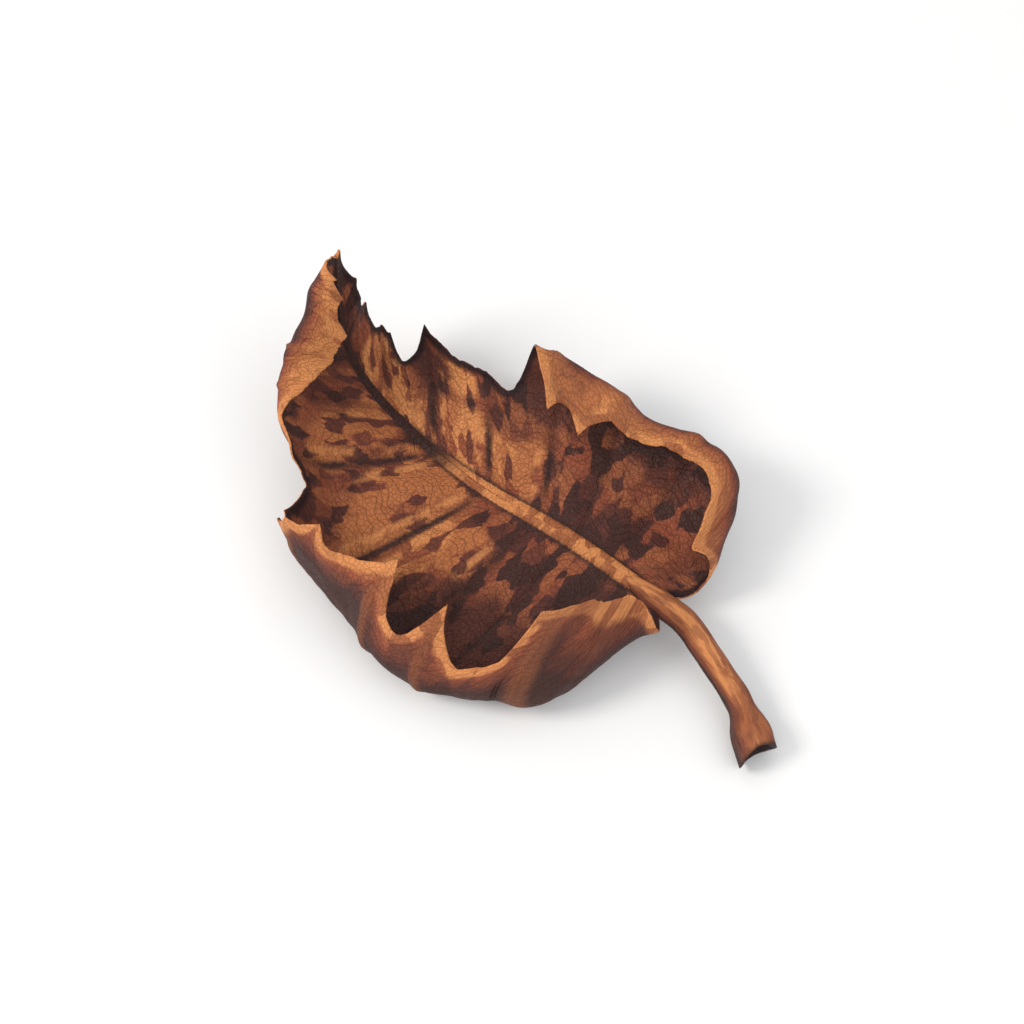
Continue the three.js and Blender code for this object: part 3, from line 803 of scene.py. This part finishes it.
def upper_material(colours):
    """The upper face: red-brown, mottled, with pale and orange patches that are partly painted
    light and dark patches that are partly painted shade. Painted shade where it turns up sharply
    and rolls over; dark lines along the side veins, partly their own colour and partly painted
    shade in the groove, each with a painted highlight on a ridge beside it; a dark edge, partly
    dried and partly painted shade inside the curl; painted shade down both sides of the midrib; and
    a pale midrib that turns dark past its middle, painted shade where it lies in a fold."""
    material, tree, shader = new_material("leaf_upper_face")
    at = blade_reading(tree, 9.0)
    blotch, spots, grain, r, s = (at[key] for key in ("blotch", "spots", "grain", "r", "s"))
    all_patches = (PALE_PATCHES, ORANGE_PATCHES, DARK_AND_SHADE_PATCHES)
    pale, orange, dark = (patches_mask(tree, at["flat"], patches) for patches in all_patches)
    bright = maths(tree, "MAXIMUM", pale, orange)

    tone = layered(
        tree, colours.red_brown,
        (blotch, 0.44, 0.6, 1.0, colours.warm_brown),
        (spots, 0.5, 0.65, 1.0, colours.deep_brown),
        (spots, 0.7, 0.8, 0.8, colours.dark_brown),
        (spots, 0.34, 0.24, 0.6, colours.orange_brown),
    )
    orange_tone = layered(
        tree, colours.orange_brown,
        (blotch, 0.34, 0.46, 1.0, colours.tan),
        (spots, 0.55, 0.7, 1.0, colours.warm_brown),
        (spots, 0.72, 0.8, 0.8, colours.deep_brown),
    )
    pale_tone = layered(
        tree, colours.tan,
        (blotch, 0.46, 0.56, 1.0, colours.pale_tan),
        (spots, 0.5, 0.65, 0.9, colours.warm_brown),
        (spots, 0.72, 0.8, 0.7, colours.deep_brown),
    )
    dark_and_shade_tone = layered(
        tree, colours.deep_brown,
        (spots, 0.35, 0.7, 1.0, colours.dark_brown),
        (blotch, 0.53, 0.6, 0.7, colours.red_brown),
    )
    # Pale and orange patches are partly painted light, the dark ones partly painted shade.
    tone = blend(tree, orange, tone, orange_tone)
    tone = blend(tree, pale, tone, pale_tone)
    tone = blend(tree, product(tree, dark, 0.92), tone, dark_and_shade_tone)
    # Painted shade where the upper face turns up sharply and rolls over, inside the curled edge.
    rolled_shade_slope = uneven(tree, at["slope"], blotch, 30.0)
    tone = layered(
        tree, tone,
        (rolled_shade_slope, 65.0, 100.0, 0.9, colours.dark_brown),
        (rolled_shade_slope, 100.0, 135.0, 0.9, colours.near_black),
    )
    tone = veined(tree, at, tone, 0.3, 0.25, colours.deep_brown)
    tone = layered(tree, tone, (grain, 0.5, 0.75, 0.3, colours.dark_brown))

    # Painted highlight on a ridge beside each side vein, in the pale and orange patches.
    away = eased(tree, r, 2.5, 8.0)
    broken = eased(tree, noise(tree, at["flat"], 0.16, 3.0), 0.4, 0.52)
    beside = maths(tree, "ABSOLUTE", maths(tree, "SUBTRACT", at["vein"], 2.9))
    ridge = product(tree, eased(tree, beside, 1.4, 0.3, 0.0, 0.8), broken, away, bright)
    tone = blend(tree, ridge, tone, colours.pale_tan)
    # A dark line along each side vein: partly the vein's own colour, partly painted shade in its
    # groove.
    vein_line_and_shade = eased(tree, uneven(tree, at["vein"], grain, 1.3), 2.1, 0.9)
    before_tip = eased(tree, s, 0.5, 0.62, 1.0, 0.35)
    vein_line_and_shade = product(tree, vein_line_and_shade, away, before_tip, uneven(tree, 0.4, bright, 0.55))
    tone = blend(tree, vein_line_and_shade, tone, colours.dark_brown)
    # Dark edge: partly the dried margin, partly painted shade just inside the curled edge.
    rim = uneven(tree, at["edge"], blotch, 3.0)
    tone = layered(tree, tone, (rim, 4.4, 2.6, 0.95, colours.near_black))

    # Painted shade down both sides of the midrib, weaker past its middle.
    rib_side_shade = eased(tree, uneven(tree, r, grain, 1.4), 5.0, 3.2, 0.0, 0.85)
    rib_side_shade = product(tree, rib_side_shade, eased(tree, s, 0.45, 0.6, 1.0, 0.2))
    tone = blend(tree, rib_side_shade, tone, colours.dark_brown)
    # The pale midrib, which turns dark past its middle: painted shade where it lies in a fold.
    rib_tone = layered(
        tree, colours.pale_tan,
        (spots, 0.6, 0.85, 1.0, colours.orange_brown),
        (s, 0.4, 0.5, 1.0, colours.dark_brown),
    )
    tone = layered(tree, tone, (uneven(tree, r, grain, 1.0), 3.2, 2.5, 1.0, rib_tone))

    relief = vein_relief(tree, at, 0.9, 0.55, 0.7)
    finish_surface(tree, shader, tone, relief, 0.4, grain, (0.5, 0.75))
    return material


def lower_material(colours):
    """The lower face, which shows outside where the edge curls up. Its tone is painted light and
    shade: palest where it faces up and at the tip, and darker the less it is turned up, towards
    the base and the further it is from the edge, with a painted highlight in a pale band along
    the edge, and paler raised veins."""
    material, tree, shader = new_material("leaf_lower_face")
    at = blade_reading(tree, 10.0)
    blotch, spots, grain, edge = (at[key] for key in ("blotch", "spots", "grain", "edge"))

    # Painted light and shade: the tone follows how far the line has turned up, paler facing up and
    # at the tip, darker facing down, towards the base and away from the edge, broken by the
    # mottling.
    level = maths(tree, "ADD", at["slope"], eased(tree, at["s"], 0.08, 0.35, -22.0, 0.0))
    level = maths(tree, "ADD", level, eased(tree, at["s"], 0.5, 0.62, -15.0, 28.0))
    for marks, amount in ((edge, -6.6), (blotch, 100.0), (spots, -26.0)):
        level = uneven(tree, level, marks, amount)
    tone = layered(
        tree, colours.orange_brown,
        (level, 138.0, 158.0, 1.0, colours.tan),
        (level, 134.0, 114.0, 1.0, colours.warm_brown),
        (level, 114.0, 96.0, 1.0, colours.red_brown),
        (level, 92.0, 72.0, 1.0, colours.deep_brown),
        (level, 68.0, 46.0, 0.85, colours.dark_brown),
        (level, 166.0, 190.0, 1.0, colours.pale_tan),
        (grain, 0.5, 0.75, 0.3, colours.deep_brown),
    )
    tone = veined(tree, at, tone, 0.22, 0.16, colours.deep_brown)
    # Painted highlight: a pale band along the curled edge.
    edge_highlight_tone = layered(tree, colours.pale_tan, (spots, 0.5, 0.8, 1.0, colours.orange_brown))
    tone = layered(
        tree, tone,
        (uneven(tree, at["vein"], grain, 0.9), 1.9, 0.8, 0.4, colours.orange_brown),
        (uneven(tree, at["r"], grain, 0.8), 3.4, 2.2, 0.8, colours.tan),
        (uneven(tree, edge, blotch, 2.4), 4.8, 3.2, 0.95, edge_highlight_tone),
    )

    relief = vein_relief(tree, at, 1.2, 0.7, 0.8)
    finish_surface(tree, shader, tone, relief, 0.45, grain, (0.55, 0.78))
    return material


def stalk_material(colours):
    """The stalk: painted light along its top and painted shade down its sides, darker towards its
    foot, streaked along its length, and dark in the hollow and on the rim of its foot."""
    material, tree, shader = new_material("leaf_stalk")
    place = read(tree, "stalk_place", "Vector")
    high, way = split(tree, place)[1:]
    stretched = vector_maths(tree, "MULTIPLY", place, (6.0, 6.0, 0.35))
    mottle = shared(tree, "leaf_mottle", [("Place", stretched), ("Size", 4.0)])
    blotch, spots, grain = mottle["Blotch"], mottle["Spots"], mottle["Grain"]

    # Painted light and shade: paler along the top of the stalk and darker down its sides.
    level = maths(tree, "ADD", high, eased(tree, way, -32.0, -6.0, 0.0, -0.15))
    level = uneven(tree, level, maths(tree, "SUBTRACT", blotch, 0.5), 1.3)
    tone = layered(
        tree, colours.orange_brown,
        (level, 0.8, 1.0, 1.0, colours.pale_tan),
        (level, 0.75, 0.5, 1.0, colours.red_brown),
        (level, 0.45, 0.1, 1.0, colours.dark_brown),
        (spots, 0.6, 0.85, 0.5, colours.red_brown),
        (grain, 0.5, 0.75, 0.35, colours.deep_brown),
        (uneven(tree, way, blotch, 3.0), 0.0, 2.0, 0.9, colours.near_black),
    )
    relief = uneven(tree, grain, spots, 0.6)
    finish_surface(tree, shader, tone, relief, 0.4, grain, (0.5, 0.7))
    return material


def floor_material(colour):
    """A plain matt floor, with a faint unevenness."""
    material, tree, shader = new_material("plain_floor")
    place = node(tree, "ShaderNodeTexCoord").outputs["Object"]
    shade = (*(0.985 * c for c in colour[:3]), 1.0)
    tone = blend(tree, noise(tree, place, 40.0), colour, shade)
    tree.links.new(tone, shader.inputs["Base Color"])
    shader.inputs["Roughness"].default_value = 0.9
    return material


def screen_colour(red, green, blue):
    """A colour given in 0 to 255 screen values, as linear light with full opacity."""
    c = np.array([red, green, blue]) / 255.0
    linear = np.where(c <= 0.04045, c / 12.92, ((c + 0.055) / 1.055) ** 2.4)
    return (*linear.tolist(), 1.0)


def length_setting(name, text, default, high=0.2):
    """A length that a user may change, in metres."""
    return bpy.props.FloatProperty(
        name=name, description=text, default=default, min=0.0, max=high, unit="LENGTH",
        subtype="DISTANCE", precision=5,
    )


def colour_setting(name, text, *screen):
    """A colour that a user may change, given in screen values."""
    return bpy.props.FloatVectorProperty(
        name=name, description=text, default=screen_colour(*screen), size=4, min=0.0, max=1.0,
        subtype="COLOR",
    )


def number_setting(name, text, default, high, **more):
    """A number that a user may change."""
    return bpy.props.FloatProperty(
        name=name, description=text, default=default, min=0.0, max=high, **more
    )


def angle_setting(name, text, degrees):
    """An angle that a user may change, given in degrees."""
    return bpy.props.FloatProperty(
        name=name, description=text, default=np.radians(degrees), subtype="ANGLE", unit="ROTATION"
    )


class LeafShape(bpy.types.PropertyGroup):
    thickness: length_setting("Thickness", "Thickness of the blade", 0.0009)
    rib_width_base: length_setting("Rib width, base", "Half its width at the stalk", 0.0027)
    rib_width_tip: length_setting("Rib width, tip", "Half its width at the tip", 0.001)
    rib_rise_base: length_setting("Rib rise, base", "Height of the midrib at the stalk", 0.0016)
    rib_rise_tip: length_setting("Rib rise, tip", "Height of the midrib at the tip", 0.00025)
    vein_width: length_setting("Vein width", "Half-width of a side vein", 0.0017)
    vein_rise: length_setting("Vein rise", "How far a side vein stands out below", 0.0008)
    vein_groove: length_setting("Vein groove", "How deep a side vein lies above", 0.00045)
    pucker: length_setting("Pucker", "How far the blade swells between side veins", 0.0015)
    edge_wave: length_setting("Edge wave", "How far the edge waves up and down", 0.0011)
    crumple: length_setting("Crumple", "How deep the blade is crumpled by drying", 0.0014)
    edge_ragged: length_setting("Ragged edge", "How deep the edge is nicked", 0.0016)
    stalk_radius: length_setting("Stalk radius", "Radius of the stalk", 0.0037)
    stalk_flare: number_setting("Stalk flare", "Radius of the foot over the stalk's", 1.55, 3.0)
    stalk_cup: length_setting("Stalk hollow", "Depth of the hollow in the foot", 0.0035)
    prong_both: length_setting("Prongs", "How far both prongs of the foot stick out", 0.0018)
    prong_uneven: length_setting("Uneven prongs", "How much longer one prong is", 0.0013)
    rows: bpy.props.IntProperty(
        name="Rows", description="Grid rows from the stalk to the tip", default=290, min=60, max=330
    )
    columns: bpy.props.IntProperty(
        name="Columns", description="Grid columns on each half", default=64, min=16, max=70
    )


class LeafColours(bpy.types.PropertyGroup):
    # Near black is the dried edge, and also painted shade in the deepest folds and just inside the
    # curled edge.
    near_black: colour_setting("Near black", "Dried edge and deepest folds", 45, 28, 30)
    dark_brown: colour_setting("Dark brown", "Creases and shaded tissue", 64, 42, 38)
    deep_brown: colour_setting("Deep brown", "Dark mottling", 92, 52, 45)
    red_brown: colour_setting("Red brown", "Ground colour of the upper face", 120, 66, 48)
    warm_brown: colour_setting("Warm brown", "Warm patches", 150, 80, 55)
    # Orange brown and tan are partly painted light in the pale panels; pale tan is also a painted
    # highlight along the curled edge, beside the side veins and along the top of the stalk.
    orange_brown: colour_setting("Orange brown", "Light panels between the veins", 165, 98, 62)
    tan: colour_setting("Tan", "Lightest panels", 185, 112, 68)
    pale_tan: colour_setting("Pale tan", "Midrib, stalk and curled edge", 215, 140, 85)


class StageSettings(bpy.types.PropertyGroup):
    floor_size: length_setting("Floor size", "Width of the square floor", 6.0, 20.0)
    floor_colour: colour_setting("Floor colour", "Colour of the floor", 250, 250, 250)
    key_power: number_setting("Key light", "Power of the main lamp", 4.5, 1000.0, unit="POWER")
    fill_power: number_setting("Fill light", "Power of the wide lamp", 1.5, 1000.0, unit="POWER")
    sky: number_setting("Sky", "Brightness of the white surroundings", 0.8, 5.0)
    azimuth: angle_setting("Azimuth", "Camera's direction round the leaf", -56.05)
    elevation: angle_setting("Elevation", "Camera's height over the floor, as an angle", 62.72)
    roll: angle_setting("Roll", "Camera's turn about its view", 5.62)
    distance: length_setting("Distance", "From the camera to the point it looks at", 0.7688, 5.0)
    target: bpy.props.FloatVectorProperty(
        name="Target", description="Point that the camera looks at",
        default=(0.001965, 0.010052, 0.01863), subtype="TRANSLATION", unit="LENGTH", precision=5,
    )


def dress(piece):
    """Tells the frame that the piece stands for the leaf and moves with it."""
    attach(piece, "root")
    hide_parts("leaf")


class LEAF_OT_blade(bpy.types.Operator):
    """Make the blade with its veins, teeth and curled edges"""

    bl_idname = "leaf.blade"
    bl_label = "Leaf blade"

    def execute(self, context):
        colours = context.scene.leaf_colours
        materials = [upper_material(colours), lower_material(colours)]
        dress(build_blade(context.scene.leaf_shape, materials))
        return {"FINISHED"}


class LEAF_OT_stalk(bpy.types.Operator):
    """Make the stalk with its swollen foot"""

    bl_idname = "leaf.stalk"
    bl_label = "Leaf stalk"

    def execute(self, context):
        dress(build_stalk(context.scene.leaf_shape, stalk_material(context.scene.leaf_colours)))
        return {"FINISHED"}


def view_axes(azimuth, elevation, roll=0.0):
    """The camera's right, up and backward directions for its two angles and its roll."""
    back = Vector((
        np.sin(azimuth) * np.cos(elevation),
        -np.cos(azimuth) * np.cos(elevation),
        np.sin(elevation),
    ))
    right = Vector((np.cos(azimuth), np.sin(azimuth), 0.0))
    turned = right * np.cos(roll) + back.cross(right) * np.sin(roll)
    return turned, back.cross(turned), back


def place_facing(item, target, axes, distance):
    """Puts a camera or a lamp at a distance from a point, looking at it."""
    turn = Matrix(axes).transposed().to_4x4()
    item.matrix_world = Matrix.Translation(target + axes[2] * distance) @ turn
    bpy.context.scene.collection.objects.link(item)


def soft_lamp(name, power, size, way, target, tint):
    """A square area lamp, a metre away, that faces the leaf."""
    data = bpy.data.lights.new(name, "AREA")
    data.energy, data.size, data.color = power, size, tint
    place_facing(bpy.data.objects.new(name, data), target, view_axes(*way), 1.0)


class LEAF_OT_stage(bpy.types.Operator):
    """Make the pale floor, the soft lights and the camera"""

    bl_idname = "leaf.stage"
    bl_label = "Floor, lights and camera"

    def execute(self, context):
        stage = context.scene.leaf_stage
        half = stage.floor_size / 2
        corners = np.array([(-half, -half), (half, -half), (half, half), (-half, half)])
        just_below_leaf = -0.1 * MM
        corners = np.column_stack([corners, np.full(4, just_below_leaf)])
        material = floor_material(stage.floor_colour)
        new_piece("floor", corners, [(0, 1, 2, 3)], [material], np.zeros(1))

        world = bpy.data.worlds.new("pale_room")
        world.use_nodes = True
        sky = world.node_tree.nodes["Background"]
        sky.inputs["Color"].default_value = (1, 1, 1, 1)
        sky.inputs["Strength"].default_value = stage.sky
        context.scene.world = world
        context.scene.view_settings.view_transform = "Standard"

        target = Vector(stage.target)
        key_way = stage.azimuth + np.radians(-75), np.radians(42)
        fill_way = stage.azimuth + np.radians(60), np.radians(35)
        soft_lamp("key", stage.key_power, 0.35, key_way, target, (1.0, 0.97, 0.93))
        soft_lamp("fill", stage.fill_power, 0.9, fill_way, target, (0.95, 0.97, 1.0))

        data = bpy.data.cameras.new("photo_view")
        data.lens, data.sensor_width = 100.0, 36.0
        data.clip_start, data.clip_end = 0.01, 20.0
        camera = bpy.data.objects.new("photo_view", data)
        axes = view_axes(stage.azimuth, stage.elevation, stage.roll)
        place_facing(camera, target, axes, stage.distance)
        context.scene.camera = camera
        return {"FINISHED"}


class LEAF_PT_panel(bpy.types.Panel):
    """Lists the leaf's pieces and settings"""

    bl_idname = "LEAF_PT_panel"
    bl_label = "Dry leaf"
    bl_space_type = "VIEW_3D"
    bl_region_type = "UI"
    bl_category = "Leaf"

    def draw(self, context):
        for operator in OPERATORS:
            self.layout.operator(operator.bl_idname)
        for name, group in SETTINGS.items():
            box = self.layout.box()
            for key in group.__annotations__:
                box.prop(getattr(context.scene, name), key)


SETTINGS = {"leaf_shape": LeafShape, "leaf_colours": LeafColours, "leaf_stage": StageSettings}
OPERATORS = (LEAF_OT_blade, LEAF_OT_stalk, LEAF_OT_stage)


def register():
    for kind in (*SETTINGS.values(), *OPERATORS, LEAF_PT_panel):
        bpy.utils.register_class(kind)
    for name, group in SETTINGS.items():
        setattr(bpy.types.Scene, name, bpy.props.PointerProperty(type=group))


def unregister():
    for name in SETTINGS:
        delattr(bpy.types.Scene, name)
    for kind in (LEAF_PT_panel, *reversed(OPERATORS), *reversed(SETTINGS.values())):
        bpy.utils.unregister_class(kind)


def main():
    """Makes every piece and the stage."""
    register()
    bpy.ops.leaf.blade()
    bpy.ops.leaf.stalk()
    bpy.ops.leaf.stage()


if __name__ == "__main__":
    main()
